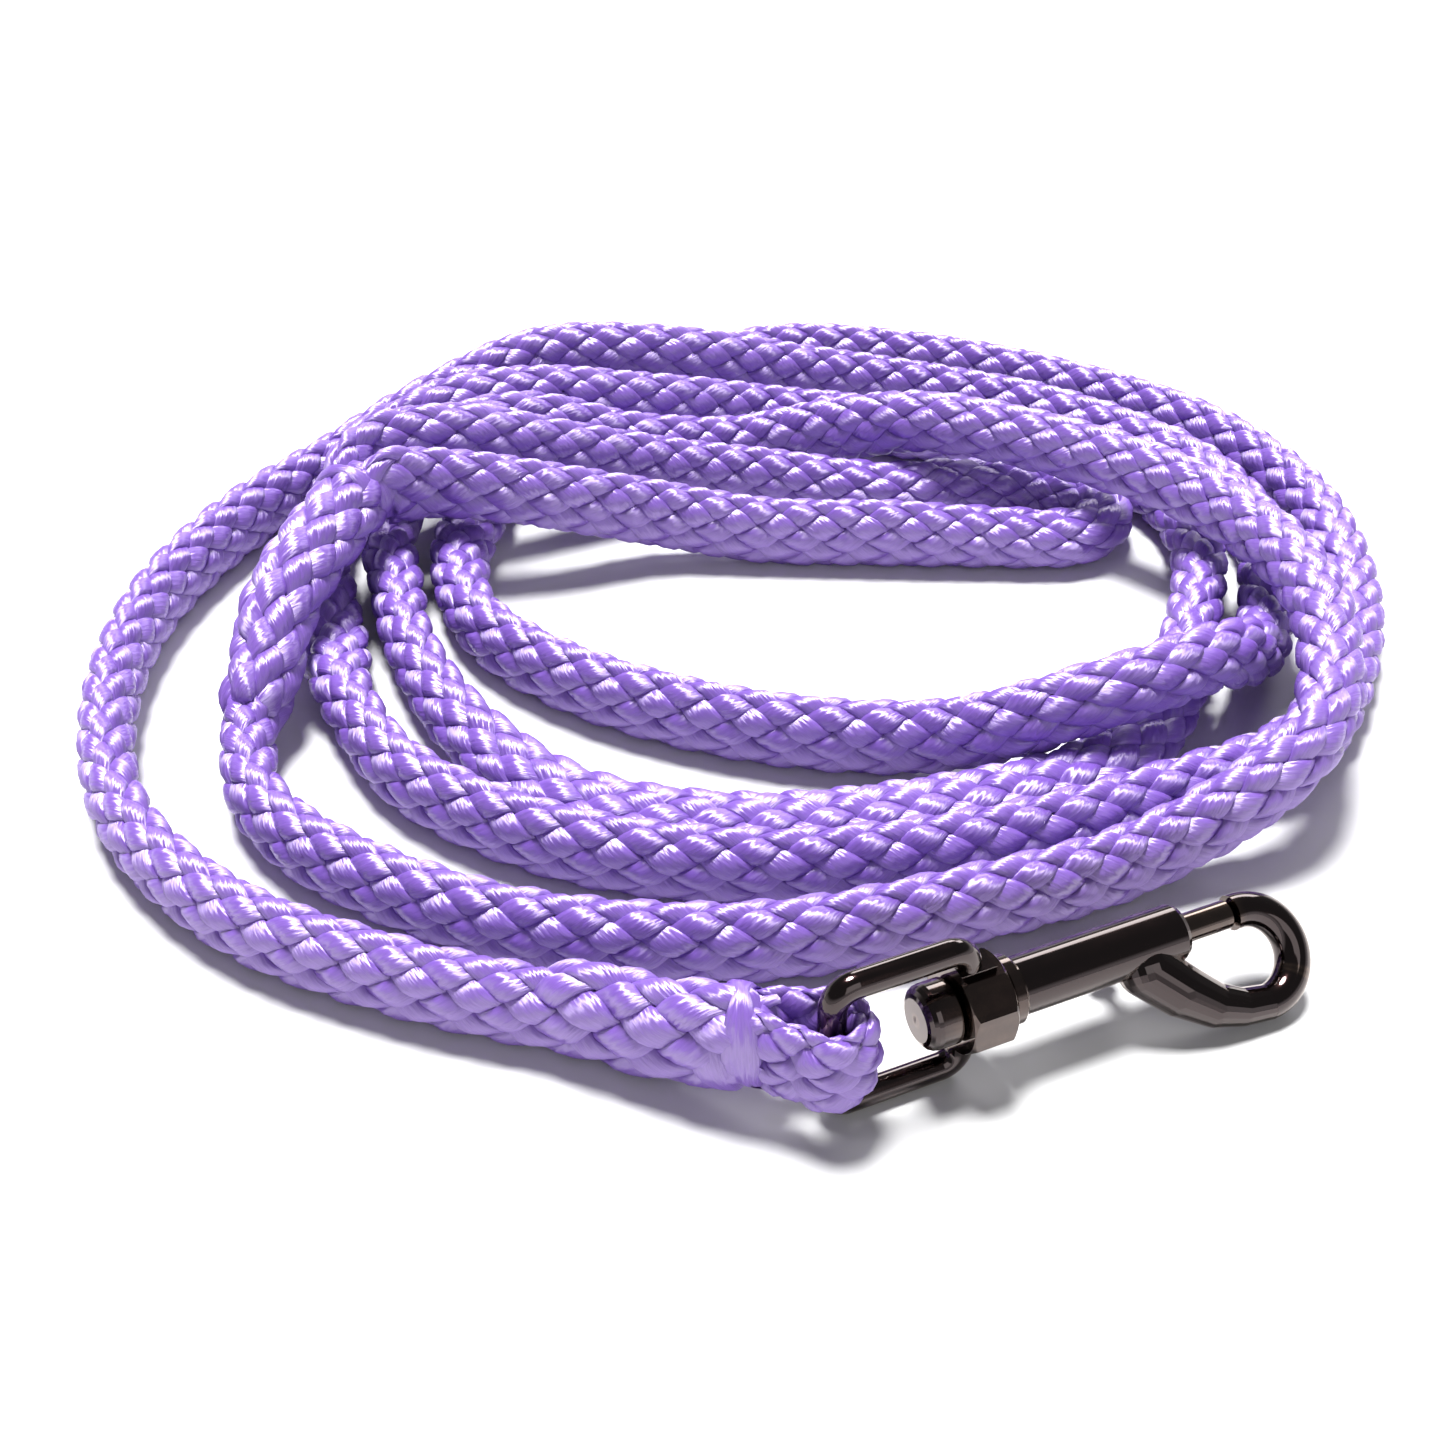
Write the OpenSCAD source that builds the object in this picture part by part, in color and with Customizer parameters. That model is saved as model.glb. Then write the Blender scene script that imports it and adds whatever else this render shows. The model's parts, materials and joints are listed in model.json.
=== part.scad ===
// Horse lead rope: a braided rope laid in a loose flat coil, with a swivel
// bolt snap spliced to one end and a spliced hand loop at the other.
// The origin lies on the table under the middle of the bolt snap.
// +X runs along the snap from its eye to its hook, and +Z is up.

/* [Rope] */
// Width of the rope where it stands on its narrow side
rope_w = 9.2; // [7:0.1:12]
// Height of the rope where it stands on its narrow side
rope_h = 13.6; // [10:0.1:16]
// Thickness of the splice below the snap, as a multiple of the rope
snap_splice_bulk = 1.25; // [1.05:0.01:1.55]
// Thickness of the splice that closes the hand loop, as a multiple of the rope
hand_splice_bulk = 1.2; // [1.05:0.01:1.5]
// Thickness of the rope that wraps the eye's end bar
band_t = 4.8; // [3.5:0.1:6]
// Width of the band that wraps the eye's end bar
band_w = 13.6; // [9:0.1:16.4]

/* [Swivel eye] */
// Thickness of the bars of the square eye
bar_d = 3.8; // [3:0.1:4.6]
// Outer height of the square eye
eye_h = 24; // [21:0.5:30]
// Clear length of the square eye, from its end bar to its front bar
eye_gap = 15.6; // [13:0.1:20]
// Bend radius of the eye's corners, at the middle of the bar
corner_r = 3; // [2:0.1:4]
// Length of the eight-sided block on the front bar
block_len = 6.6; // [5:0.1:9]
// Width of the eight-sided block across its flats
block_w = 12.4; // [10:0.1:15]

/* [Swivel rivet] */
// Diameter of the rivet's shank
shank_d = 4.4; // [3.6:0.1:5.3]
// Diameter of the rivet's head
head_d = 9; // [7:0.1:11]
// Length of the rivet's head
head_len = 5; // [3:0.1:6]

/* [Snap body] */
// Diameter of the collar that faces the block
collar_d = 9.6; // [8.6:0.1:12]
// Length of the collar
collar_len = 2.4; // [1.5:0.1:4]
// Outer diameter of the barrel
barrel_d = 8; // [7:0.1:9.6]
// Length of the barrel
barrel_len = 26.2; // [22:0.1:32]
// Radius of the hook's bend, at the middle of its bar
hook_r = 6.5; // [5.6:0.1:8]
// Thickness of the hook's bar
hook_d = 5; // [4:0.1:6]
// Clear length of the hook's opening, from the barrel to the hook's tip
hook_gap = 8.6; // [7.5:0.1:11]

/* [Bolt] */
// Diameter of the bolt that closes the hook
bolt_d = 4.1; // [3.4:0.1:4.8]
// Travel of the bolt when the thumb stud is drawn back
bolt_travel = 8; // [6.5:0.1:9.6]
// Width of the slot that the thumb stud runs in
slot_w = 3.1; // [2.9:0.1:3.8]
// Diameter of the thumb stud's pin
pin_d = 2.7; // [2.2:0.1:2.8]
// Diameter of the thumb stud's knob
knob_d = 5; // [3.6:0.1:6.5]
// Reach of the thumb stud from the snap's axis
stud_reach = 9.8; // [8.5:0.1:12]

/* [Spring] */
// Thickness of the bolt spring's wire
wire_d = 0.45; // [0.3:0.05:0.6]
// Number of turns of the bolt spring
spring_turns = 10; // [6:1:14]

/* [Clearances] */
// Clearance all round a shaft that turns or slides in its bore
run_fit = 0.06; // [0.03:0.01:0.1]
// Gap between faces that turn past each other
face_gap = 0.3; // [0.2:0.05:0.6]
// Depth that the splice below the snap runs into the rope round the end bar
throat_lap = 0.6; // [0.4:0.1:2]
// Gap at each end of the bolt spring
spring_rest = 0.03; // [0.02:0.01:0.1]

/* [Hidden] */
$fn = 48;

// ---- lengths along the snap, measured from the middle of the end bar ----
front_bar_x = eye_gap + bar_d;
block_x0 = bar_d / 2 + eye_gap;
block_x1 = block_x0 + block_len;
head_x1 = block_x0 - 0.2;
head_x0 = head_x1 - head_len;
collar_x0 = block_x1 + face_gap;
barrel_x0 = collar_x0 + collar_len;
barrel_x1 = barrel_x0 + barrel_len;
shank_x1 = barrel_x0 + 1.9;
spring_x0 = shank_x1;
tip_x = barrel_x1 + hook_gap;
bolt_tip_x = tip_x - 0.2;
stud_x = barrel_x1 - 7.5;
spring_x1 = stud_x - 2;
hook_cx = tip_x + 1;
hook_out = hook_cx + hook_r + hook_d / 2;
hook_deep = 2 * hook_r + hook_d / 2;

// ---- where the snap stands ----
// The hook's bend is turned down by 45 degrees, to the side away from the coil.
lean = 45;
hook_low = 2 * hook_r * sin(lean) + hook_d / 2;
axis_z = max(eye_h / 2, hook_low + 0.15);
side_neg = 2 * hook_r * cos(lean) + hook_d / 2;
side_pos = stud_reach * cos(lean) + knob_d / 2 * sin(lean);
bar_x = -(hook_out - bar_d / 2) / 2;
axis_y = (side_neg - side_pos) / 2;

// ---- the rope's route ----
// Each point is [x, y, height of the underside, how far the rope lies over].
// The route has its own axes: turn is the angle from them to the snap's axis,
// and route_bar is the end bar's place on them.
turn = -25;
route_bar = [13.7, -87];
rope_path = [
    [-17, -76, 0, 0], [-44, -68, 0, 0], [-70, -55, 0, 0], [-90, -33, 0, 0],
    [-99, -5, 0, 0], [-99, 25, 0, 0], [-90, 53, 0, 0], [-76, 75, 0, 0],
    [-58, 93, 5, 0.2], [-37, 104, 10, 0.2], [-12, 106, 9.6, 0.2], [14, 110, 3, 0],
    [42, 107, 0, 0], [68, 97, 0, 0.2], [90, 79, 0, 0.4], [99, 54, 0, 0.4],
    [96, 32, 0, 0.2], [90, 11, 2, 0.3], [78, -4, 9.6, 0.3], [60, -14, 9.6, 0.2],
    [36, -14, 1, 0], [8, -11, 0, 0], [-20, 0, 0, 0], [-40, 17, 0, 0],
    [-47, 38, 0, 0.4], [-46.5, 60, 0, 0.9], [-42, 80, 0, 1], [-31, 98, 0, 1],
    [-14, 115, 0, 0.8], [10, 126, 0, 0.1], [40, 122, 0, 0], [70, 109, 0, 0],
    [96, 89, 0, 0], [110, 63, 0, 0.2], [111, 34, 0, 0.4], [104, 8, 0, 0.5],
    [91, -14, 0, 0.5], [66, -29, 0, 0.1], [38, -40, 0, 0], [8, -45, 0, 0],
    [-22, -40, 0, 0], [-47, -25, 0, 0], [-60, -5, 0, 0], [-66, 14, 0, 0.8],
    [-70, 30, 0, 0.6], [-73, 47, 0, 0.3], [-69, 65, 3, 0.4], [-57, 79, 9.8, 0.3],
    [-38, 86.5, 10, 0.2], [-16, 91, 6, 0.1], [8, 97, 0, 0], [36, 92, 0, 0.2],
    [62, 83, 0, 0.4], [82, 68, 0, 0.4], [86.5, 46, 0, 0.3], [80, 18, 0, 0.2],
    [70, -5, 0, 1], [57, -20, 0, 1], [32, -29, 0, 1], [4, -33, 0, 1],
    [-22, -27, 0, 1], [-40, -11, 0, 0.4], [-52, 11, 0, 0], [-57.5, 32, 0, 0.2],
    [-61, 51, 1, 0.3], [-54.5, 66, 9.6, 0.3], [-38, 75, 10.2, 0.2], [-18, 80, 3, 0.1],
    [2, 84, 0, 0.1], [20, 82, 4, 0], [40, 72, 12, 0.3], [66, 58, 13, 0.3],
    [85, 40, 13.6, 0.3], [95, 16, 14.4, 0.3], [95, -8, 13.4, 0.3], [86, -30, 10, 0.2],
    [62, -42, 0, 0], [34, -53.5, 0, 0], [4, -61, 0, 0], [-28, -58, 0, 0],
    [-55, -45, 0, 0], [-70, -30, 0, 0], [-75, -12, 0, 0]
];
hand_splice_path = [
    [-75, -12, 0, 0], [-74, -2, 3, 0.2], [-73.5, 8, 8, 0.4],
    [-71, 18, 11.5, 0.5], [-67, 30, 13.5, 0.5], [-63, 42, 14.5, 0.5]
];
hand_loop_path = [
    [-66.6, 43.2, 14, -0.4], [-62, 51.5, 16.5, -0.1], [-47, 57.5, 16.5, 0.2],
    [-28, 64, 9, 0.1], [-12, 69, 3, 0], [8, 70, 0, 0], [30, 68, 0, 0.5],
    [46, 70, 0, 0.6], [61, 69, 0, 0.6], [71.5, 60, 0, 0.6], [65, 51, 0, 0.6],
    [46, 50, 0, 0.3], [30, 50, 0, 0], [8, 51, 0, 0], [-12, 52, 3, 0],
    [-30, 48, 9, 0.1], [-43, 46, 12, 0], [-51, 45, 13, -0.1], [-59.4, 40.8, 14, -0.4]
];

// ---- helpers ----
function unit(v) = v / norm(v);

// A route point's place on the part's axes, at the middle of the rope.
function placed(p, h) =
    let (
        dx = p[0] - route_bar[0],
        dy = p[1] - route_bar[1]
    )
    [
        bar_x + dx * cos(turn) - dy * sin(turn),
        axis_y + dx * sin(turn) + dy * cos(turn),
        p[2] + h / 2
    ];

// Width and height of the rope where it lies over by p[3], before any bulk.
function lay_w(p) = rope_w + p[3] * (rope_h - rope_w);
function lay_h(p) = rope_h - p[3] * (rope_h - rope_w);

// A ring of a route: its middle, its width and its height.
function ring_at(p, bulk = 1) =
    [placed(p, lay_h(p) * bulk), lay_w(p) * bulk, lay_h(p) * bulk];

// Directions of a list of rings, each from the ring before it to the one after.
function headings(rings) = [
    for (i = [0 : len(rings) - 1])
        unit(rings[min(i + 1, len(rings) - 1)][0] - rings[max(i - 1, 0)][0])
];

// One oval ring of points, square to the direction t.
function oval(ring, t, sides) =
    let (
        side = unit(cross(t, [0, 0, 1])),
        up = cross(side, t)
    )
    [
        for (k = [0 : sides - 1])
            let (a = 360 * (k + 0.5) / sides)
            ring[0] + side * cos(a) * ring[1] / 2 + up * sin(a) * ring[2] / 2
    ];

// The faces of a closed tube of n rings of points.
function tube_faces(n, sides) = concat(
    [[for (k = [sides - 1 : -1 : 0]) k]],
    [
        for (i = [0 : n - 2], k = [0 : sides - 1])
            let (
                a = i * sides + k,
                b = i * sides + (k + 1) % sides
            )
            each [[a, b, b + sides], [a, b + sides, a + sides]]
    ],
    [[for (k = [0 : sides - 1]) (n - 1) * sides + k]]
);

// A closed tube through a list of rings, whose directions start at number
// first of the list ways.
module tube(rings, ways, first = 0, sides = 10) {
    points = [
        for (i = [0 : len(rings) - 1])
            each oval(rings[i], ways[first + i], sides)
    ];
    polyhedron(points = points, faces = tube_faces(len(rings), sides), convexity = 10);
}

// A cylinder along X from x0 to x1 on the snap's axis.
module rod(x0, x1, d) {
    translate([x0, 0, 0]) rotate([0, 90, 0]) cylinder(d = d, h = x1 - x0);
}

// A turned shape on the snap's axis, from a list of [x, radius].
module turned(profile) {
    rotate([0, 90, 0]) rotate_extrude() {
        polygon([for (p = profile) [p[1], p[0]]]);
    }
}

// Stands its children on the snap's axis.
module on_axis() {
    translate([bar_x, axis_y, axis_z]) children();
}

// Turns its children with the hook, whose bend points to -Z before the turn.
module leaning() {
    rotate([-lean, 0, 0]) children();
}

// Turns what stands on the snap's axis to the side that the thumb stud is on.
module stud_side() {
    rotate([-90, 0, 0]) children();
}

// ---- rope ----
// The throat is where the rope closes round the end bar.
band_r = bar_d / 2 + band_t;
throat_turn = 140;
throat_reach = 8;
throat_r = 5.6;
throat_end = throat_reach + throat_r * (band_r - throat_r) / throat_reach;
throat_ring = [
    [
        bar_x + (throat_end - throat_lap) * cos(throat_turn),
        axis_y + (throat_end - throat_lap) * sin(throat_turn),
        axis_z - 0.6
    ],
    11.4,
    14.4
];
snap_splice_path = [[-1.5, -82.5, 2.2, 0], [-9, -79.5, 0.4, 0]];

// Every ring from the throat to the end of the hand splice, without bulk.
// The pieces of the rope take their directions from it, so their ends meet.
rope_from = 1 + len(snap_splice_path);
rope_to = rope_from + len(rope_path) - 1;
whole_ways = headings(concat(
    [throat_ring],
    [for (p = snap_splice_path) ring_at(p)],
    [for (p = rope_path) ring_at(p)],
    [for (i = [1 : len(hand_splice_path) - 1]) ring_at(hand_splice_path[i])]
));

module lead_rope() {
    rings = [for (p = rope_path) ring_at(p)];
    color([0.62, 0.5, 0.82]) tube(rings, whole_ways, rope_from);
}

module snap_splice() {
    rings = [
        throat_ring,
        ring_at(snap_splice_path[0], snap_splice_bulk),
        ring_at(snap_splice_path[1], snap_splice_bulk * 0.98),
        ring_at(rope_path[0], snap_splice_bulk * 0.92)
    ];
    color([0.6, 0.48, 0.8]) tube(rings, whole_ways);
}

module hand_splice() {
    rings = [for (p = hand_splice_path) ring_at(p, hand_splice_bulk)];
    color([0.6, 0.48, 0.8]) tube(rings, whole_ways, rope_to);
}

module hand_loop() {
    rings = [for (p = hand_loop_path) ring_at(p)];
    color([0.62, 0.5, 0.82]) tube(rings, headings(rings));
}

module snap_eye_loop() {
    tangent = acos((band_r - throat_r) / throat_reach);
    color([0.6, 0.48, 0.8])
    on_axis() rotate([0, 0, throat_turn]) difference() {
        union() {
            cylinder(r = band_r, h = band_w, center = true);
            linear_extrude(height = band_w, center = true) {
                polygon([
                    [band_r * cos(tangent), band_r * sin(tangent)],
                    [band_r * cos(tangent), -band_r * sin(tangent)],
                    [throat_reach + throat_r * cos(tangent), -throat_r * sin(tangent)],
                    [throat_reach + throat_r * cos(tangent), throat_r * sin(tangent)]
                ]);
            }
        }
        cylinder(d = bar_d + 2 * run_fit, h = band_w + 2, center = true);
    }
}

// ---- swivel eye ----
rail_z = eye_h / 2 - bar_d / 2;
straight_z = rail_z - corner_r;

module eye_corner(x, z, from) {
    translate([x, 0, z]) rotate([90, 0, 0]) rotate([0, 0, from]) rotate_extrude(angle = 90) {
        translate([corner_r, 0]) circle(d = bar_d);
    }
}

module eye_frame() {
    for (x = [0, front_bar_x]) {
        translate([x, 0, 0]) cylinder(d = bar_d, h = 2 * straight_z, center = true);
    }
    for (z = [-rail_z, rail_z]) {
        translate([0, 0, z]) rod(corner_r, front_bar_x - corner_r, bar_d);
    }
    eye_corner(corner_r, straight_z, 90);
    eye_corner(corner_r, -straight_z, 180);
    eye_corner(front_bar_x - corner_r, straight_z, 0);
    eye_corner(front_bar_x - corner_r, -straight_z, 270);
}

module swivel_eye() {
    block_rim = block_w / 2 / cos(22.5);
    shoulder = 0.7;
    color([0.2, 0.17, 0.18])
    on_axis() difference() {
        union() {
            eye_frame();
            // flat part of the front bar, which grows into the block
            translate([block_x0 + 2.6, 0, 0]) cube([5.2, bar_d, 2 * straight_z], center = true);
            intersection() {
                translate([block_x0, 0, 0]) rotate([0, 90, 0]) rotate([0, 0, 22.5]) {
                    cylinder(r = block_rim, h = block_len, $fn = 8);
                }
                turned([
                    [block_x0 - 0.1, 0],
                    [block_x0 - 0.1, block_rim - shoulder],
                    [block_x0 + shoulder, block_rim + 0.1],
                    [block_x1 - shoulder, block_rim + 0.1],
                    [block_x1 + 0.1, block_rim - shoulder],
                    [block_x1 + 0.1, 0]
                ]);
            }
        }
        rod(block_x0 - 1, block_x1 + 1, shank_d + 2 * run_fit);
    }
}

// ---- swivel rivet ----
module swivel_rivet() {
    r = head_d / 2;
    dome = min(1.8, head_len - 1);
    color([0.22, 0.19, 0.19])
    on_axis() union() {
        turned(concat(
            [[head_x0, 0]],
            [for (a = [10 : 20 : 90]) [head_x0 + dome * (1 - cos(a)), r - dome * (1 - sin(a))]],
            [[head_x1 - 0.4, r], [head_x1, r - 0.4], [head_x1, 0]]
        ));
        rod(head_x1 - 0.5, shank_x1, shank_d);
    }
}

// ---- snap body ----
slot_x0 = stud_x - bolt_travel - pin_d / 2 - face_gap;
slot_x1 = stud_x + pin_d / 2 + face_gap;

// The web that joins the barrel to the hook's bend, as [x, depth, radius].
web = [
    [barrel_x1 - 6.5, barrel_d * 0.42, barrel_d / 2],
    [barrel_x1 - 2.6, hook_deep * 0.48, hook_d * 0.76],
    [barrel_x1 + 1.6, hook_deep * 0.7, hook_d * 0.63],
    [hook_cx - hook_r * 0.62, 2 * hook_r - 0.55, hook_d * 0.53],
    [hook_cx, 2 * hook_r, hook_d / 2]
];

module hook_bend() {
    rod(tip_x, hook_cx + 0.01, hook_d);
    translate([hook_cx, 0, -hook_r]) rotate([90, 0, 0]) rotate([0, 0, -90]) {
        rotate_extrude(angle = 180) translate([hook_r, 0]) circle(d = hook_d);
    }
}

module hook_web() {
    for (i = [0 : len(web) - 2]) {
        hull() {
            translate([web[i][0], 0, -web[i][1]]) sphere(r = web[i][2], $fn = 24);
            translate([web[i + 1][0], 0, -web[i + 1][1]]) sphere(r = web[i + 1][2], $fn = 24);
        }
    }
}

module stud_slot() {
    hull_x0 = slot_x0 + slot_w / 2;
    hull_x1 = slot_x1 - slot_w / 2;
    for (x = [hull_x0, hull_x1]) {
        translate([x, 0, 0]) cylinder(d = slot_w, h = barrel_d);
    }
    translate([hull_x0, -slot_w / 2, 0]) cube([hull_x1 - hull_x0, slot_w, barrel_d]);
}

module snap_body() {
    r = barrel_d / 2;
    color([0.2, 0.17, 0.18])
    on_axis() leaning() difference() {
        union() {
            turned([
                [collar_x0, 0],
                [collar_x0, collar_d / 2 - 0.5],
                [collar_x0 + 0.5, collar_d / 2],
                [barrel_x0 - 0.5, collar_d / 2],
                [barrel_x0, collar_d / 2 - 0.5],
                [barrel_x0, r],
                [barrel_x1 - 0.9, r],
                [barrel_x1 - 0.3, r - 0.3],
                [barrel_x1, r - 0.9],
                [barrel_x1, 0]
            ]);
            hook_bend();
            hook_web();
        }
        rod(collar_x0 - 1, shank_x1, shank_d);
        rod(shank_x1 - 0.01, barrel_x1 + 0.5 * hook_gap, bolt_d + 2 * run_fit);
        stud_side() stud_slot();
    }
}

// ---- bolt and thumb stud ----
stud_seat = bolt_d / 2 - 0.9;

module bolt() {
    nose = 0.6;
    color([0.34, 0.31, 0.31])
    on_axis() leaning() difference() {
        turned([
            [spring_x1, 0],
            [spring_x1, bolt_d / 2 - 0.3],
            [spring_x1 + 0.3, bolt_d / 2],
            [bolt_tip_x - nose, bolt_d / 2],
            [bolt_tip_x, bolt_d / 2 - nose],
            [bolt_tip_x, 0]
        ]);
        stud_side() translate([stud_x, 0, -stud_seat]) cylinder(d = pin_d, h = bolt_d);
    }
}

module thumb_stud() {
    knob_h = 2.6;
    knob_z = stud_reach - knob_h;
    r = knob_d / 2;
    color([0.22, 0.19, 0.19])
    on_axis() leaning() stud_side() translate([stud_x, 0, 0]) union() {
        translate([0, 0, -stud_seat]) cylinder(d = pin_d, h = knob_z + stud_seat + 0.5);
        rotate_extrude() polygon([
            [0, knob_z],
            [pin_d / 2, knob_z],
            [r - 0.3, knob_z + 0.5],
            [r, knob_z + 0.9],
            [r, knob_z + 1.5],
            [r * 0.86, knob_z + 2.1],
            [r * 0.55, knob_z + 2.5],
            [0, knob_z + knob_h]
        ]);
    }
}

// ---- spring ----
// A closed wire round the snap's axis, whose sections stand out from that axis.
module wire(mids, d, sides) {
    n = len(mids);
    points = [
        for (i = [0 : n - 1])
            let (
                t = unit(mids[min(i + 1, n - 1)] - mids[max(i - 1, 0)]),
                out = unit([0, mids[i][1], mids[i][2]]),
                side = unit(cross(t, out)),
                rise = cross(side, t)
            )
            for (k = [0 : sides - 1])
                let (a = 360 * k / sides)
                mids[i] + side * cos(a) * d / 2 + rise * sin(a) * d / 2
    ];
    polyhedron(points = points, faces = tube_faces(n, sides), convexity = 20);
}

module bolt_spring() {
    steps = 10;
    inset = wire_d / 2 + spring_rest;
    coil_r = bolt_d / 2 - wire_d / 2 - 0.08;
    coil_len = spring_x1 - spring_x0 - 2 * inset;
    n = spring_turns * steps;
    color([0.7, 0.7, 0.72])
    on_axis() wire([
        for (i = [0 : n])
            let (a = 360 * i / steps)
            [spring_x0 + inset + coil_len * i / n, coil_r * cos(a), coil_r * sin(a)]
    ], wire_d, 5);
}

lead_rope();
snap_splice();
snap_eye_loop();
hand_splice();
hand_loop();
swivel_eye();
swivel_rivet();
snap_body();
bolt_spring();
bolt();
thumb_stud();
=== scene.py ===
"""Lead rope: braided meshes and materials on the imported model. Metres, row frame."""
import json
import math

import bpy
import numpy as np
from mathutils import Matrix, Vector


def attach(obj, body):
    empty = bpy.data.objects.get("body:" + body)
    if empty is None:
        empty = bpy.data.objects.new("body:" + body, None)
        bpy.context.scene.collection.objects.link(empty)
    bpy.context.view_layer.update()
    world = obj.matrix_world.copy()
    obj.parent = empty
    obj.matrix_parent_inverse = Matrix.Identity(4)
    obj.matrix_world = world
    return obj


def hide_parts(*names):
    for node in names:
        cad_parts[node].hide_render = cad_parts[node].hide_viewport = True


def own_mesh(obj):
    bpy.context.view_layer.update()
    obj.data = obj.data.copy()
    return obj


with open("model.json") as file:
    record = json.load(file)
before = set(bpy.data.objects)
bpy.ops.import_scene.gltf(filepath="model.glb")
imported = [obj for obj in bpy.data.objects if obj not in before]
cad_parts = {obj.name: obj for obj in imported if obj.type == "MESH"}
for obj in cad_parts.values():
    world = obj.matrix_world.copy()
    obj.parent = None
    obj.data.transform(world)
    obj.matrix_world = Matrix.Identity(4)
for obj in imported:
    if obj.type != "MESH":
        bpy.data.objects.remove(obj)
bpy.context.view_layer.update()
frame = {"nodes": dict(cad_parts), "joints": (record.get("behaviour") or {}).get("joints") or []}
nodes = frame["nodes"]
MM = 0.001

# ---------------------------------------------------------------- sizes, in mm
ROPE_W, ROPE_H = 9.2, 13.6
TURN = -25.0
ROUTE_BAR = (13.7, -87.0)
SNAP_SPLICE_BULK, HAND_SPLICE_BULK = 1.25, 1.2
HAND_SPLICE_LEN = 57.0
BAND_T, BAND_W, BAR_D = 4.8, 13.6, 3.8
BAND_GAP = 0.1
THROAT_TURN = 140.0  # degrees, from the bar to the splice
THROAT_REACH, THROAT_LIFT = 8.0, 4.2
STEP, BAND_STEP = 0.92, 0.8  # between a braid's rings

# ---------------------------------------------------------------- looks
LILAC = (0.168, 0.080, 0.40)
NICKEL, BOLT_GREY, STEEL = (0.026, 0.015, 0.017), (0.045, 0.033, 0.033), (0.55, 0.55, 0.57)
# painted highlight: the paler colour laid on sharp metal edges, and how strongly it is laid on
EDGE_HIGHLIGHT_PAINT, EDGE_HIGHLIGHT_STRENGTH = (0.30, 0.24, 0.19), 0.5
FLOOR_GREY = 0.66
KEY_POWER, KEY_ANGLE = 8.0, 20
BACK_POWER, FRONT_POWER = 6.0, 3.0
WALL, CEILING = 1.0, 0.14  # the world's strength low down and overhead
SENSOR = 36.0  # mm
FOCAL, IMAGE = 1983.0, 1445.0  # the lens and the picture's width, in one unit

eye_joint = next(j for j in frame["joints"] if j["name"] == "eye_swing")
BAR = np.array(eye_joint["pos_m"]) / MM  # middle of the eye's end bar

# The route's points, as in the CAD: x, y, height of the underside, lie over.
ROPE_PATH = [
    (-17, -76, 0, 0), (-44, -68, 0, 0), (-70, -55, 0, 0), (-90, -33, 0, 0),
    (-99, -5, 0, 0), (-99, 25, 0, 0), (-90, 53, 0, 0), (-76, 75, 0, 0),
    (-58, 93, 5, 0.2), (-37, 104, 10, 0.2), (-12, 106, 9.6, 0.2), (14, 110, 3, 0),
    (42, 107, 0, 0), (68, 97, 0, 0.2), (90, 79, 0, 0.4), (99, 54, 0, 0.4),
    (96, 32, 0, 0.2), (90, 11, 2, 0.3), (78, -4, 9.6, 0.3), (60, -14, 9.6, 0.2),
    (36, -14, 1, 0), (8, -11, 0, 0), (-20, 0, 0, 0), (-40, 17, 0, 0),
    (-47, 38, 0, 0.4), (-46.5, 60, 0, 0.9), (-42, 80, 0, 1), (-31, 98, 0, 1),
    (-14, 115, 0, 0.8), (10, 126, 0, 0.1), (40, 122, 0, 0), (70, 109, 0, 0),
    (96, 89, 0, 0), (110, 63, 0, 0.2), (111, 34, 0, 0.4), (104, 8, 0, 0.5),
    (91, -14, 0, 0.5), (66, -29, 0, 0.1), (38, -40, 0, 0), (8, -45, 0, 0),
    (-22, -40, 0, 0), (-47, -25, 0, 0), (-60, -5, 0, 0), (-66, 14, 0, 0.8),
    (-70, 30, 0, 0.6), (-73, 47, 0, 0.3), (-69, 65, 3, 0.4), (-57, 79, 9.8, 0.3),
    (-38, 86.5, 10, 0.2), (-16, 91, 6, 0.1), (8, 97, 0, 0), (36, 92, 0, 0.2),
    (62, 83, 0, 0.4), (82, 68, 0, 0.4), (86.5, 46, 0, 0.3), (80, 18, 0, 0.2),
    (70, -5, 0, 1), (57, -20, 0, 1), (32, -29, 0, 1), (4, -33, 0, 1),
    (-22, -27, 0, 1), (-40, -11, 0, 0.4), (-52, 11, 0, 0), (-57.5, 32, 0, 0.2),
    (-61, 51, 1, 0.3), (-54.5, 66, 9.6, 0.3), (-38, 75, 10.2, 0.2), (-18, 80, 3, 0.1),
    (2, 84, 0, 0.1), (20, 82, 4, 0), (40, 72, 12, 0.3), (66, 58, 13, 0.3),
    (85, 40, 13.6, 0.3), (95, 16, 14.4, 0.3), (95, -8, 13.4, 0.3), (86, -30, 10, 0.2),
    (62, -42, 0, 0), (34, -53.5, 0, 0), (4, -61, 0, 0), (-28, -58, 0, 0),
    (-55, -45, 0, 0), (-70, -30, 0, 0), (-75, -12, 0, 0),
]
SNAP_SPLICE_PATH = [(-1.5, -82.5, 2.2, 0), (-9, -79.5, 0.4, 0)]
HAND_SPLICE_PATH = [
    (-74, -2, 3, 0.2), (-73.5, 8, 8, 0.4), (-71, 18, 11.5, 0.5),
    (-67, 30, 13.5, 0.5), (-63, 42, 14.5, 0.5),
]
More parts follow.
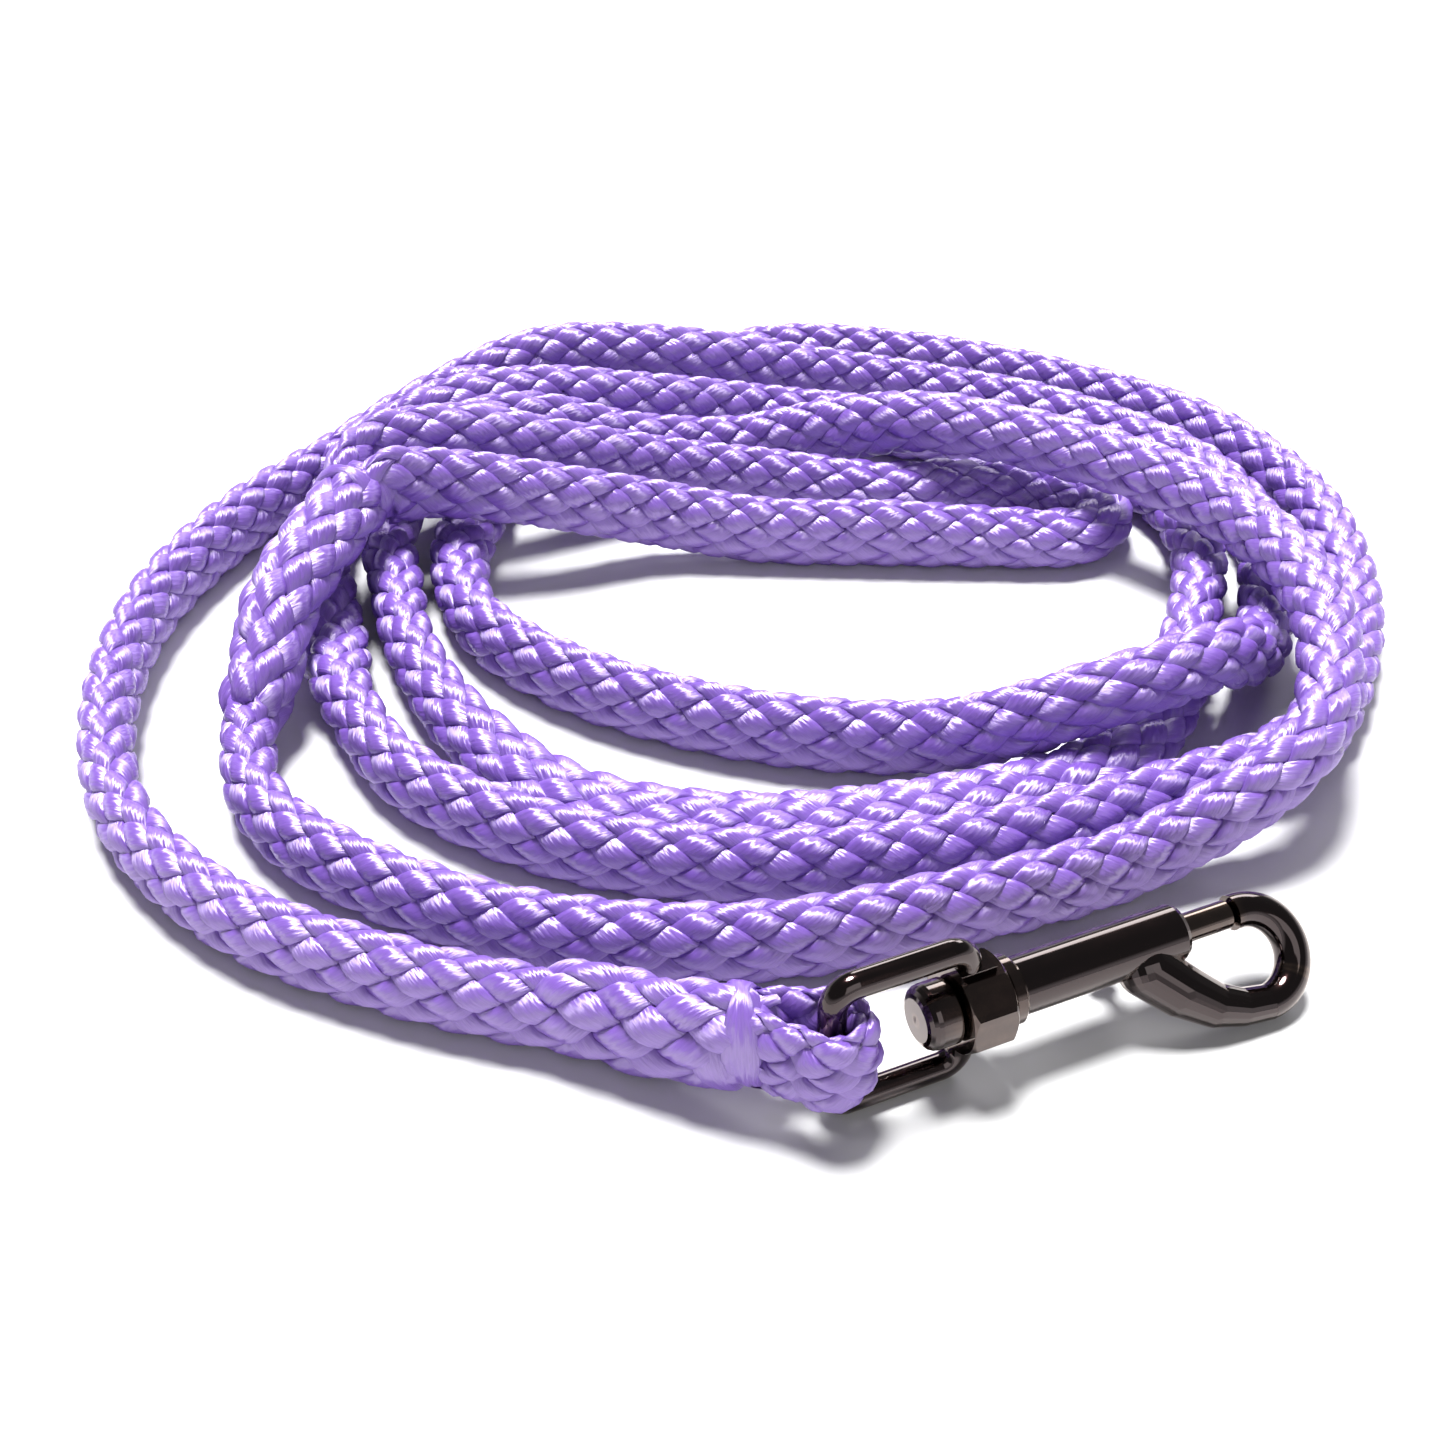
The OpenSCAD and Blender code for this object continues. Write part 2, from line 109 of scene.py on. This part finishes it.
HAND_LOOP_PATH = [
    (-66.6, 43.2, 14, -0.4), (-62, 51.5, 16.5, -0.1), (-47, 57.5, 16.5, 0.2),
    (-28, 64, 9, 0.1), (-12, 69, 3, 0), (8, 70, 0, 0), (30, 68, 0, 0.5),
    (46, 70, 0, 0.6), (61, 69, 0, 0.6), (71.5, 60, 0, 0.6), (65, 51, 0, 0.6),
    (46, 50, 0, 0.3), (30, 50, 0, 0), (8, 51, 0, 0), (-12, 52, 3, 0),
    (-30, 48, 9, 0.1), (-43, 46, 12, 0), (-51, 45, 13, -0.1), (-59.4, 40.8, 14, -0.4),
]
# The loop's two ends, inside the splice.
LOOP_ROOTS = [(-67.2, 37.5, 15.5, -0.2), (-62.6, 35.8, 15.5, -0.2)]


def turned(x, y, degrees):
    """x and y turned about the origin."""
    c, s = math.cos(math.radians(degrees)), math.sin(math.radians(degrees))
    return x * c - y * s, x * s + y * c


def placed(x, y, z=0.0):
    """A route point in the row frame, in mm."""
    dx, dy = turned(x - ROUTE_BAR[0], y - ROUTE_BAR[1], TURN)
    return np.array([BAR[0] + dx, BAR[1] + dy, z])


def add_aimed(name, data, where, aim):
    """Adds a camera or a light at one place, facing another."""
    ob = bpy.data.objects.new(name, data)
    ob.location = where
    ob.rotation_euler = (Vector(aim) - Vector(where)).to_track_quat("-Z", "Y").to_euler()
    bpy.context.scene.collection.objects.link(ob)
    return ob


# ---------------------------------------------------------------- camera
def make_camera():
    data = bpy.data.cameras.new("camera")
    data.sensor_width = SENSOR
    data.lens = FOCAL / IMAGE * SENSOR
    data.clip_start, data.clip_end = 0.01, 20.0
    where, aim = placed(0.0, -265.6, 193.0) * MM, placed(0.0, 0.0, 0.0) * MM
    bpy.context.scene.camera = add_aimed("camera", data, where, aim)


make_camera()
bpy.context.scene.view_settings.view_transform = "Standard"


# ---------------------------------------------------------------- braid maths
def smooth_route(points, step):
    """A smooth line through the points, sampled every step mm: lengths, and rows."""
    p = np.asarray(points, float)
    p = np.vstack([2 * p[0] - p[1], p, 2 * p[-1] - p[-2]])
    out = []
    for i in range(1, len(p) - 2):
        a, b, c, d = p[i - 1 : i + 3]
        for t in np.linspace(0, 1, 24, endpoint=False):
            out.append(0.5 * (2 * b + (c - a) * t + (2 * a - 5 * b + 4 * c - d) * t**2
                              + (3 * b - 3 * c + d - a) * t**3))
    out.append(p[-2])
    out = np.array(out)
    s = np.r_[0, np.cumsum(np.linalg.norm(np.diff(out[:, :3], axis=0), axis=1))]
    n = int(round(s[-1] / step))
    even = np.linspace(0, s[-1], n + 1)
    return even, np.stack([np.interp(even, s, out[:, k]) for k in range(out.shape[1])], 1)


def frames(mid):
    """Directions along, across and up at each point of a centreline."""
    t = np.gradient(mid, axis=0)
    t /= np.linalg.norm(t, axis=1)[:, None]
    side = np.cross(t, (0.0, 0.0, 1.0))
    side /= np.linalg.norm(side, axis=1)[:, None]
    return t, side, np.cross(side, t)


# A yarn's section: across, from edge to edge, and out, in half thicknesses.
YARN = np.array([
    (-1.0, -0.25), (-0.9, 0.5), (-0.6, 0.88), (0.0, 1.0), (0.6, 0.88), (0.9, 0.5),
    (1.0, -0.25), (0.6, -0.8), (-0.6, -0.8),
])
YARN_TOP = 3  # the point of YARN that is outermost
UV_HALF, UV_OFFSET, UV_SHIFTS = 2.4, 10.0, 12  # U to a yarn's edge, and between yarns
UV_SLIDE = 90  # mm, the most that V starts at
# How unevenly a yarn is laid: its width's spread and wave, its drift and its slip.
SPREAD, WIDTH_WAVE, DRIFT, SLIP = 0.012, 0.03, 0.03, 0.012
CORE_SIDES, CORE_DEPTH = 12, 1.96  # the depth is in yarn thicknesses
CORE_EVERY = 4  # rings of the braid to one of the core
# An end's dome: share of the rope's oval, and how far out in mm.
DOME = ((0.86, -0.8), (0.84, 0.2), (0.68, 1.1), (0.4, 1.7), (0.02, 1.9))


class Mesh:
    """Collects quads with UVs, where U runs across a yarn and V along it, in mm."""

    def __init__(self):
        self.co, self.faces, self.uv, self.n = [], [], [], 0

    def strip(self, rings, across, along):
        """rings: (n, k, 3). across: k + 1 values. along: (n, k)."""
        n, k = rings.shape[:2]
        i, j = np.meshgrid(np.arange(n - 1), np.arange(k), indexing="ij")
        j2 = (j + 1) % k
        quads = np.stack([i * k + j, i * k + j2, (i + 1) * k + j2, (i + 1) * k + j], -1)
        u0, u1 = across[j], across[j + 1]
        corners = ((u0, along[i, j]), (u1, along[i, j2]),
                   (u1, along[i + 1, j2]), (u0, along[i + 1, j]))
        uv = np.stack([np.stack(corner, -1) for corner in corners], 2)
        self.co.append(rings.reshape(-1, 3))
        self.faces.append(quads.reshape(-1, 4) + self.n)
        self.uv.append(uv.reshape(-1, 2))
        self.n += n * k

    def build(self, name, material):
        """Makes the object from what was collected."""
        co = np.vstack(self.co) * MM
        faces = np.vstack(self.faces)
        uv = np.vstack(self.uv)
        me = bpy.data.meshes.new(name)
        me.vertices.add(len(co))
        me.vertices.foreach_set("co", co.astype(np.float32).ravel())
        me.loops.add(faces.size)
        me.loops.foreach_set("vertex_index", faces.astype(np.int32).ravel())
        me.polygons.add(len(faces))
        me.polygons.foreach_set("loop_start", np.arange(0, faces.size, 4, dtype=np.int32))
        me.polygons.foreach_set("loop_total", np.full(len(faces), 4, dtype=np.int32))
        layer = me.uv_layers.new(name="yarn")
        layer.data.foreach_set("uv", uv.astype(np.float32).ravel())
        me.update(calc_edges=True)
        me.validate()
        me.polygons.foreach_set("use_smooth", np.ones(len(me.polygons), dtype=bool))
        me.materials.append(material)
        ob = bpy.data.objects.new(name, me)
        bpy.context.scene.collection.objects.link(ob)
        return ob


def sampled(at, s, *rows):
    """Each set of points along s, read at other places along it."""
    return [np.stack([np.interp(at, s, v[:, k]) for k in range(3)], 1) for v in rows]


def braid(mesh, s, mid, w, h, bulk, seed, period=8.0, yarns=12, thick=1.65, fill=1.03):
    """Adds a tubular one-over-one braid along mid, whose section is an oval w by h.

    A yarn's sections run along the yarns that cross it, so each slug is a rhombus.
    """
    rng = np.random.default_rng(seed)
    t, side, up = frames(mid)
    turns = np.r_[0, np.cumsum(np.diff(s) * 2 / (bulk[1:] + bulk[:-1]))] / period
    half = yarns // 2
    e = (h - w) / (h + w)
    core = thick * bulk * CORE_DEPTH
    for sense in (1, -1):
        for i in range(half):
            phase = rng.uniform(0, 6.28, 3)
            uneven = rng.normal(0, SPREAD) + WIDTH_WAVE * np.sin(turns * 2.1 + phase[0])
            reach = 0.25 * fill * (1 + uneven)
            drift = DRIFT * np.sin(turns * 1.3 + phase[1])
            slip = SLIP * np.sin(turns * 1.7 + phase[2])
            wave = sense * np.cos(2 * math.pi * (turns + slip))
            rings = []
            for u, v in YARN:
                at = turns + u * reach
                phi = 2 * math.pi * (i + sense * (turns - u * reach) + drift) / half
                th = phi - 0.5 * e * np.sin(2 * phi)
                m, sd, upv = sampled(at, turns, mid, side, up)
                # beyond the ends the line runs straight on
                over = (at - np.clip(at, turns[0], turns[-1])) * period * bulk
                m += t * over[:, None]
                ww, hh = np.interp(at, turns, w), np.interp(at, turns, h)
                tk = thick * np.interp(at, turns, bulk)
                depth = tk / 2 + tk / 2 * (1 - wave) - v * tk / 2
                nx, ny = np.cos(th) / ww, np.sin(th) / hh
                nl = np.hypot(nx, ny)
                px = ww / 2 * np.cos(th) - nx / nl * depth
                py = hh / 2 * np.sin(th) - ny / nl * depth
                rings.append(m + sd * px[:, None] + upv * py[:, None])
            ring = np.stack(rings, 1)
            line = ring[:, YARN_TOP]
            step = np.linalg.norm(np.diff(line, axis=0), axis=1)
            # V runs square to the yarn, though its rings are skewed
            d = np.gradient(line, axis=0)
            d /= np.linalg.norm(d, axis=1)[:, None]
            lean = np.sum((ring - line[:, None]) * d[:, None], axis=2)
            start = rng.uniform(0, UV_SLIDE)
            along = (np.r_[0, np.cumsum(step)] + start)[:, None] + lean
            shift = UV_OFFSET * rng.integers(0, UV_SHIFTS)
            edge = np.r_[YARN[:, 0], YARN[:1, 0]] * UV_HALF + shift
            if sense > 0:
                mesh.strip(ring[:, ::-1], edge[::-1], along[:, ::-1])
            else:
                mesh.strip(ring, edge, along)
    # the core, seen only between the yarns, and a dome on each end
    k = CORE_SIDES
    a = np.linspace(0, 2 * math.pi, k, endpoint=False)
    round_uv = np.linspace(0, 8, k + 1)
    across = np.cos(a)[None, :, None] * (w / 2 - core)[:, None, None]
    upward = np.sin(a)[None, :, None] * (h / 2 - core)[:, None, None]
    tube = mid[:, None] + side[:, None] * across + up[:, None] * upward
    mesh.strip(tube[::CORE_EVERY], round_uv, np.repeat(s[::CORE_EVERY, None], k, axis=1))
    for end, sign in ((0, -1), (-1, 1)):
        rim = (np.cos(a)[:, None] * side[end] * w[end] / 2
               + np.sin(a)[:, None] * up[end] * h[end] / 2)
        dome = [mid[end] + rim * r + t[end] * sign * x * bulk[end] for r, x in DOME]
        if sign < 0:
            dome = dome[::-1]
        rows = np.arange(float(len(DOME)))
        mesh.strip(np.array(dome), round_uv, np.tile(rows[:, None], k))


def wrap(mesh, s, mid, w, h, start, end, turns, phase, wide, thick=1.9, lift=0.35):
    """Adds one yarn wound round the rope between two places along it."""
    q = np.linspace(0, 1, int(28 * turns) + 1)
    at = start + (end - start) * q
    _, side, up = frames(mid)
    m, sd, upv = sampled(at, s, mid, side, up)
    ww, hh = np.interp(at, s, w) + 2 * lift, np.interp(at, s, h) + 2 * lift
    th = phase + 2 * math.pi * turns * q
    c = m + sd * (ww / 2 * np.cos(th))[:, None] + upv * (hh / 2 * np.sin(th))[:, None]
    nx, ny = np.cos(th) / ww, np.sin(th) / hh
    out = sd * nx[:, None] + upv * ny[:, None]
    d = np.gradient(c, axis=0)
    d /= np.linalg.norm(d, axis=1)[:, None]
    out -= d * np.sum(out * d, axis=1)[:, None]
    out /= np.linalg.norm(out, axis=1)[:, None]
    across = np.cross(d, out)
    tuck = np.clip(np.minimum(q, 1 - q) * turns * 8, 0, 1)  # the ends dive in
    c = c - out * (thick / 2 + (1 - tuck) * thick)[:, None]
    # broad where it lies on the flanks, narrow over the top and under the bottom
    half = wide / 2 * (0.35 + 0.65 * np.abs(np.cos(th)))
    ring = (c[:, None] + across[:, None] * YARN[None, :, 0, None] * half[:, None, None]
            + out[:, None] * (YARN[None, :, 1, None] * thick / 2))
    along = np.r_[0, np.cumsum(np.linalg.norm(np.diff(c, axis=0), axis=1))]
    edge = np.r_[YARN[:, 0], YARN[:1, 0]] * wide / 2
    mesh.strip(ring[:, ::-1], edge[::-1], np.repeat(along[:, None], len(YARN), axis=1))


def lay(points, step, bulk_of):
    """Centreline and section of a route: s, middle, width, height, bulk."""
    s, r = smooth_route(points, step)
    bulk = bulk_of(s)
    f = r[:, 3]
    w = (ROPE_W + f * (ROPE_H - ROPE_W)) * bulk
    h = (ROPE_H - f * (ROPE_H - ROPE_W)) * bulk
    mid = np.array([placed(x, y, z) for x, y, z in r[:, :3]])
    mid[:, 2] += h / 2
    return s, mid, w, h, bulk


def ramp(s, a, b, lo, hi):
    """Goes smoothly from lo at a to hi at b."""
    t = np.clip((s - a) / (b - a), 0, 1)
    return lo + (hi - lo) * t * t * (3 - 2 * t)


# ---------------------------------------------------------------- materials
def node_of(nt, kind, **sockets):
    n = nt.nodes.new(kind)
    for key, value in sockets.items():
        if key in n.inputs:
            n.inputs[key].default_value = value
        else:
            setattr(n, key, value)
    return n


def map_range(nt, value, start, end=(0.0, 1.0)):
    """Turns a value in the range start into one in the range end."""
    n = node_of(nt, "ShaderNodeMapRange")
    n.inputs["From Min"].default_value, n.inputs["From Max"].default_value = start
    n.inputs["To Min"].default_value, n.inputs["To Max"].default_value = end
    nt.links.new(value, n.inputs["Value"])
    return n.outputs[0]


def new_material(name):
    """A material, its node tree and its shader."""
    m = bpy.data.materials.new(name)
    m.use_nodes = True
    return m, m.node_tree, m.node_tree.nodes["Principled BSDF"]


def rope_material(name, tint):
    m, nt, b = new_material(name)
    b.inputs["Roughness"].default_value = 0.48
    b.inputs["Anisotropic"].default_value = 0.9
    b.inputs["IOR"].default_value = 1.85
    b.inputs["Specular Tint"].default_value = (0.94, 0.86, 1.0, 1.0)
    b.inputs["Specular IOR Level"].default_value = 1.0
    uv = node_of(nt, "ShaderNodeUVMap", uv_map="yarn")
    tan = node_of(nt, "ShaderNodeTangent", direction_type="UV_MAP", uv_map="yarn")
    nt.links.new(tan.outputs[0], b.inputs["Tangent"])

    def noise(across, along, detail, rough):
        stretch = node_of(nt, "ShaderNodeMapping")
        stretch.inputs["Scale"].default_value = (across, along, 1.0)
        nt.links.new(uv.outputs[0], stretch.inputs["Vector"])
        n = node_of(nt, "ShaderNodeTexNoise", Scale=1.0, Detail=detail, Roughness=rough)
        nt.links.new(stretch.outputs[0], n.inputs["Vector"])
        return n.outputs["Fac"]

    filaments = noise(7.0, 0.28, 3.0, 0.6)  # quick across the yarn, slow along it
    bundles = noise(2.2, 0.22, 2.0, 0.5)  # of filaments, a little uneven
    ragged = noise(3.4, 0.3, 2.0, 0.55)  # some dip sooner than their neighbours
    # colour: slightly uneven lilac
    ramp_n = node_of(nt, "ShaderNodeValToRGB")
    cr = ramp_n.color_ramp
    cr.elements[0].position, cr.elements[1].position = 0.25, 0.75
    cr.elements[0].color = (tint[0] * 0.78, tint[1] * 0.74, tint[2] * 0.86, 1)
    cr.elements[1].color = (tint[0] * 1.2, tint[1] * 1.24, tint[2] * 1.12, 1)
    nt.links.new(filaments, ramp_n.inputs["Fac"])
    nt.links.new(ramp_n.outputs["Color"], b.inputs["Base Color"])
    bump1 = node_of(nt, "ShaderNodeBump", Strength=0.45, Distance=0.0003)
    nt.links.new(bundles, bump1.inputs["Height"])
    bump2 = node_of(nt, "ShaderNodeBump", Strength=0.3, Distance=0.00012)
    nt.links.new(filaments, bump2.inputs["Height"])
    nt.links.new(bump1.outputs[0], bump2.inputs["Normal"])
    # tilt the normal along the fibre, so a highlight's edge is ragged
    fibre = node_of(nt, "ShaderNodeVectorMath", operation="CROSS_PRODUCT")
    nt.links.new(bump2.outputs[0], fibre.inputs[0])
    nt.links.new(tan.outputs[0], fibre.inputs[1])
    tilt = map_range(nt, ragged, (0.25, 0.75), (-0.28, 0.28))
    scale = node_of(nt, "ShaderNodeVectorMath", operation="SCALE")
    nt.links.new(fibre.outputs[0], scale.inputs[0])
    nt.links.new(tilt, scale.inputs["Scale"])
    add = node_of(nt, "ShaderNodeVectorMath", operation="ADD")
    nt.links.new(bump2.outputs[0], add.inputs[0])
    nt.links.new(scale.outputs[0], add.inputs[1])
    norm = node_of(nt, "ShaderNodeVectorMath", operation="NORMALIZE")
    nt.links.new(add.outputs[0], norm.inputs[0])
    nt.links.new(norm.outputs[0], b.inputs["Normal"])
    return m


MIX_A, MIX_B, MIX_RESULT = 6, 7, 2  # the Mix node's colour sockets


def metal_material(name, base, rough):
    m, nt, b = new_material(name)
    b.inputs["Metallic"].default_value = 1.0
    b.inputs["Coat Weight"].default_value = 1.0
    b.inputs["Coat IOR"].default_value = 1.5
    b.inputs["Coat Tint"].default_value = (1.0, 0.86, 0.76, 1.0)
    b.inputs["Coat Roughness"].default_value = 0.06
    tc = node_of(nt, "ShaderNodeTexCoord")
    grime = node_of(nt, "ShaderNodeTexNoise", Scale=160.0, Detail=4.0, Roughness=0.6)
    nt.links.new(tc.outputs["Object"], grime.inputs["Vector"])
    uneven = map_range(nt, grime.outputs["Fac"], (0.3, 0.75), (rough * 0.75, rough * 1.5))
    nt.links.new(uneven, b.inputs["Roughness"])
    # painted highlight: sharp edges get a paler, warmer metal colour in patches, standing in for
    # the bright reflections along the edges
    geo = node_of(nt, "ShaderNodeNewGeometry")
    edge = map_range(nt, geo.outputs["Pointiness"], (0.53, 0.62))
    spots = node_of(nt, "ShaderNodeTexNoise", Scale=520.0, Detail=3.0, Roughness=0.7)
    nt.links.new(tc.outputs["Object"], spots.inputs["Vector"])
    mul = node_of(nt, "ShaderNodeMath", operation="MULTIPLY")
    nt.links.new(edge, mul.inputs[0])
    nt.links.new(spots.outputs["Fac"], mul.inputs[1])
    mul2 = node_of(nt, "ShaderNodeMath", operation="MULTIPLY")
    mul2.inputs[1].default_value = EDGE_HIGHLIGHT_STRENGTH
    nt.links.new(mul.outputs[0], mul2.inputs[0])
    mix = node_of(nt, "ShaderNodeMix", data_type="RGBA")
    mix.inputs[MIX_A].default_value = (*base, 1)
    mix.inputs[MIX_B].default_value = (*EDGE_HIGHLIGHT_PAINT, 1)
    nt.links.new(mul2.outputs[0], mix.inputs[0])
    nt.links.new(mix.outputs[MIX_RESULT], b.inputs["Base Color"])
    bump = node_of(nt, "ShaderNodeBump", Strength=0.12, Distance=0.0001)
    nt.links.new(grime.outputs["Fac"], bump.inputs["Height"])
    nt.links.new(bump.outputs[0], b.inputs["Normal"])
    return m


YARN_MAT = rope_material("lilac_yarn", LILAC)
BLACK_NICKEL = metal_material("black_nickel", NICKEL, 0.13)
BOLT_METAL = metal_material("bolt_metal", BOLT_GREY, 0.14)
SPRING_STEEL = metal_material("spring_steel", STEEL, 0.25)

# ---------------------------------------------------------------- rope
# the throat in the route's own axes
throat_x, throat_y = turned(*turned(THROAT_REACH, 0.0, THROAT_TURN), -TURN)
THROAT = (ROUTE_BAR[0] + throat_x, ROUTE_BAR[1] + throat_y, THROAT_LIFT, 0.0)


def main_bulk(s):
    """How thick the main rope is along s: thin at the throat, thick at both splices."""
    hand = s[-1] - HAND_SPLICE_LEN
    k = ramp(s, 24.0, 33.0, SNAP_SPLICE_BULK * 0.97, 1.0)
    k = k * ramp(s, 0.0, 5.0, 0.88, 1.0)
    return k * ramp(s, hand, hand + 5, 1.0, HAND_SPLICE_BULK)


def loop_bulk(s):
    """Full along the loop, and narrower where its two ends lie inside the splice."""
    return ramp(np.minimum(s, s[-1] - s), 0, 7, 0.6, 1.0)


def make_main():
    """The rope from the end bar to the hand loop, with a wound yarn at each end."""
    points = [THROAT] + SNAP_SPLICE_PATH + ROPE_PATH + HAND_SPLICE_PATH
    s, mid, w, h, bulk = lay(points, STEP, main_bulk)
    # the last 6 mm draw in towards the loop's roots
    close = 1 - 0.42 * np.clip((s - s[-1] + 6) / 6, 0, 1) ** 2
    mesh = Mesh()
    braid(mesh, s, mid, w * close, h * close, bulk * (0.4 + 0.6 * close), seed=11)
    wrap(mesh, s, mid, w, h, 7.5, 1.5, 1.3, 2.6, wide=5.6, lift=0.1)
    wrap(mesh, s, mid, w * close, h * close, s[-1] - 6.5, s[-1] - 0.5, 1.5, 0.4, wide=5.4)
    ob = mesh.build("rope_braid", YARN_MAT)
    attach(ob, "rope")
    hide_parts("lead_rope", "snap_splice", "hand_splice")


def make_loop():
    """The hand loop, whose ends run on into the splice."""
    points = [LOOP_ROOTS[0]] + HAND_LOOP_PATH + [LOOP_ROOTS[1]]
    s, mid, w, h, bulk = lay(points, STEP, loop_bulk)
    mesh = Mesh()
    braid(mesh, s, mid, w, h, bulk, seed=23)
    ob = mesh.build("hand_loop_braid", YARN_MAT)
    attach(ob, "rope")
    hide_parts("hand_loop")


def make_band():
    """The rope that wraps the eye's end bar, flattened, with finer slugs."""
    r = BAR_D / 2 + BAND_GAP + BAND_T / 2
    pts = [(11.0, -1.6), (8.4, -2.3), (6.0, -3.2)]
    for a in np.linspace(-52, -308, 17):
        pts.append((r * math.cos(math.radians(a)), r * math.sin(math.radians(a))))
    pts += [(6.0, 3.2), (8.4, 2.3), (11.0, 1.6)]
    pts = np.array(pts)
    x, y = turned(pts[:, 0], pts[:, 1], THROAT_TURN)
    p = np.c_[x + BAR[0], y + BAR[1], np.full(len(x), BAR[2]), np.zeros(len(x))]
    s, q = smooth_route(p, BAND_STEP)
    w = np.full(len(s), BAND_T)
    h = np.full(len(s), BAND_W)
    mesh = Mesh()
    braid(mesh, s, q[:, :3], w, h, np.full(len(s), 0.62), seed=5, period=9.6, thick=2.3)
    ob = mesh.build("snap_eye_braid", YARN_MAT)
    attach(ob, "rope")
    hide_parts("snap_eye_loop")


make_main()
make_loop()
make_band()

# ---------------------------------------------------------------- metal
for name, mat in (("swivel_eye", BLACK_NICKEL), ("swivel_rivet", BLACK_NICKEL),
                  ("snap_body", BLACK_NICKEL), ("thumb_stud", BLACK_NICKEL),
                  ("bolt", BOLT_METAL), ("bolt_spring", SPRING_STEEL)):
    ob = nodes[name]
    if not ob.data.materials:
        ob.data.materials.append(mat)
    for i in range(len(ob.material_slots)):
        ob.material_slots[i].material = mat

# the spring gets a mesh of its own (the real spring shortens as the bolt slides back)
spring = nodes["bolt_spring"]
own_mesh(spring)


# ---------------------------------------------------------------- stage
MIDDLE = placed(0, 15) * MM  # of the coil


def by_camera(x, y, z):
    """A place given right of, beyond and above the coil's middle, as the camera sees it."""
    dx, dy = turned(x, y, TURN)
    return (MIDDLE[0] + dx, MIDDLE[1] + dy, z)


def make_stage():
    """The floor."""
    bpy.ops.mesh.primitive_plane_add(size=6.0, location=(0, 0, 0))
    floor = bpy.context.object
    floor.name = "floor"
    m, _, b = new_material("floor_white")
    b.inputs["Base Color"].default_value = (FLOOR_GREY, FLOOR_GREY, FLOOR_GREY, 1)
    b.inputs["Roughness"].default_value = 0.8
    floor.data.materials.append(m)


def add_area(name, where, size, power):
    """A rectangular light that faces the coil."""
    data = bpy.data.lights.new(name, "AREA")
    data.shape = "RECTANGLE"
    data.size, data.size_y = size
    data.energy = power
    add_aimed(name, data, where, MIDDLE)


def add_key():
    """The sun over the coil."""
    data = bpy.data.lights.new("key", "SUN")
    data.energy = KEY_POWER
    data.angle = math.radians(KEY_ANGLE)
    add_aimed("key", data, by_camera(-0.1, 0.25, 0.95), MIDDLE)


def make_world():
    """A dim studio with bright walls low down, all round."""
    world = bpy.data.worlds.new("studio")
    world.use_nodes = True
    nt = world.node_tree
    background = nt.nodes["Background"]
    where = node_of(nt, "ShaderNodeTexCoord")
    split = node_of(nt, "ShaderNodeSeparateXYZ")
    nt.links.new(where.outputs["Generated"], split.inputs[0])
    wall = map_range(nt, split.outputs["Z"], (0.12, 0.3), (WALL, CEILING))
    nt.links.new(wall, background.inputs["Strength"])
    background.inputs["Color"].default_value = (0.97, 0.97, 1.0, 1)
    bpy.context.scene.world = world


make_stage()
add_key()
add_area("back", by_camera(0.3, 0.9, 0.6), (0.9, 0.3), BACK_POWER)
add_area("front", by_camera(0.5, -1.0, 0.7), (0.8, 0.8), FRONT_POWER)
make_world()
